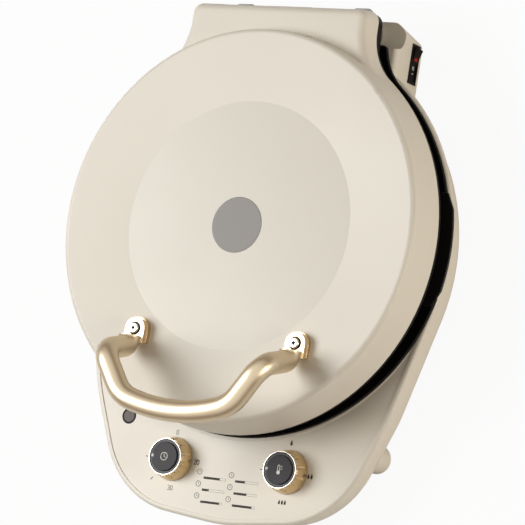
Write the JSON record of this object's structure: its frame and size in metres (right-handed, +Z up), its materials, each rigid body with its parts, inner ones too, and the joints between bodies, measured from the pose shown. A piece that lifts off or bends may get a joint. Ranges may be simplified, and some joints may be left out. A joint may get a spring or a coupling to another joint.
{
  "type": "electric baking pan",
  "caption": "Round electric baking pan with a removable lower pan, a hinged floating lid with a bent tube handle, two control knobs and a side rocker switch",
  "frame": {"origin": "middle of the bounding box on the table plane, under the base", "axes": "+X toward the side with the rocker switch, +Y from the control panel to the hinge, +Z up"},
  "size_m": [0.3284, 0.4104, 0.1472],
  "materials": {
    "cream_plastic": "warm cream, satin",
    "black_plastic": "black, glossy",
    "nonstick": "black non-stick coating",
    "champagne": "champagne gold, satin",
    "polished": "polished",
    "cap_grey": "dark grey, satin",
    "steel": "bare",
    "inner_plastic": "plain",
    "rubber": "matt"
  },
  "bodies": {
    "base": {"base_shell": "cream_plastic", "base_cover": "cream_plastic", "left_front_foot": "cream_plastic", "right_front_foot": "cream_plastic", "base_collar": "black_plastic", "switch_bezel": "black_plastic", "lower_pan": "nonstick", "lower_reflector": "steel", "lower_element": "steel", "lower_element_clips": "steel", "lower_sensor": "steel", "left_hinge_bracket": "steel", "right_hinge_bracket": "steel", "hinge_pins": "steel", "pin_clips": "steel", "bracket_screws": "steel", "base_screws": "steel", "control_nuts": "steel", "thermostat_body": "steel", "timer_body": "inner_plastic", "terminal_block": "inner_plastic", "left_rear_pad": "rubber", "right_rear_pad": "rubber", "cord_inlet": "rubber"},
    "hinge_arms": {"left_hinge_arm": "steel", "right_hinge_arm": "steel", "arm_tie_bar": "steel"},
    "lid": {"lid_shell": "cream_plastic", "lid_frame": "black_plastic", "upper_plate": "nonstick", "plate_clips": "steel", "upper_element": "steel", "upper_element_clips": "steel", "upper_reflector": "steel", "upper_cutout": "steel", "guide_rods": "steel", "lid_screws": "steel", "handle_tube": "champagne", "handle_pads": "champagne", "handle_screws": "polished"},
    "time_knob": {"time_knob_skirt": "champagne", "time_knob_rim": "polished", "time_knob_dial": "black_plastic", "time_knob_cap": "cap_grey", "timer_shaft": "steel"},
    "temperature_knob": {"temperature_knob_skirt": "champagne", "temperature_knob_rim": "polished", "temperature_knob_dial": "black_plastic", "temperature_knob_cap": "cap_grey", "thermostat_shaft": "steel"},
    "rocker": {"switch_rocker": "black_plastic"}
  },
  "joints": [
    {"name": "lid_hinge", "type": "hinge", "parent": "base", "child": "hinge_arms", "pos_m": [0, 0.19275, 0.057], "axis": [-1, 0, 0], "range_deg": [0, 105]},
    {"name": "lid_float", "type": "slide", "parent": "hinge_arms", "child": "lid", "axis": [0, 0, 1], "range_m": [0, 0.012]},
    {"name": "time_knob_turn", "type": "hinge", "parent": "base", "child": "time_knob", "pos_m": [-0.0519, -0.15905, 0.05], "axis": [0, 0, -1], "range_deg": [0, 315]},
    {"name": "temperature_knob_turn", "type": "hinge", "parent": "base", "child": "temperature_knob", "pos_m": [0.0519, -0.15905, 0.05], "axis": [0, 0, -1], "range_deg": [0, 270]},
    {"name": "switch_rock", "type": "hinge", "parent": "base", "child": "rocker", "pos_m": [0.09, 0.17205, 0.0139], "axis": [0, 0, 1], "range_deg": [0, 19]}
  ]
}
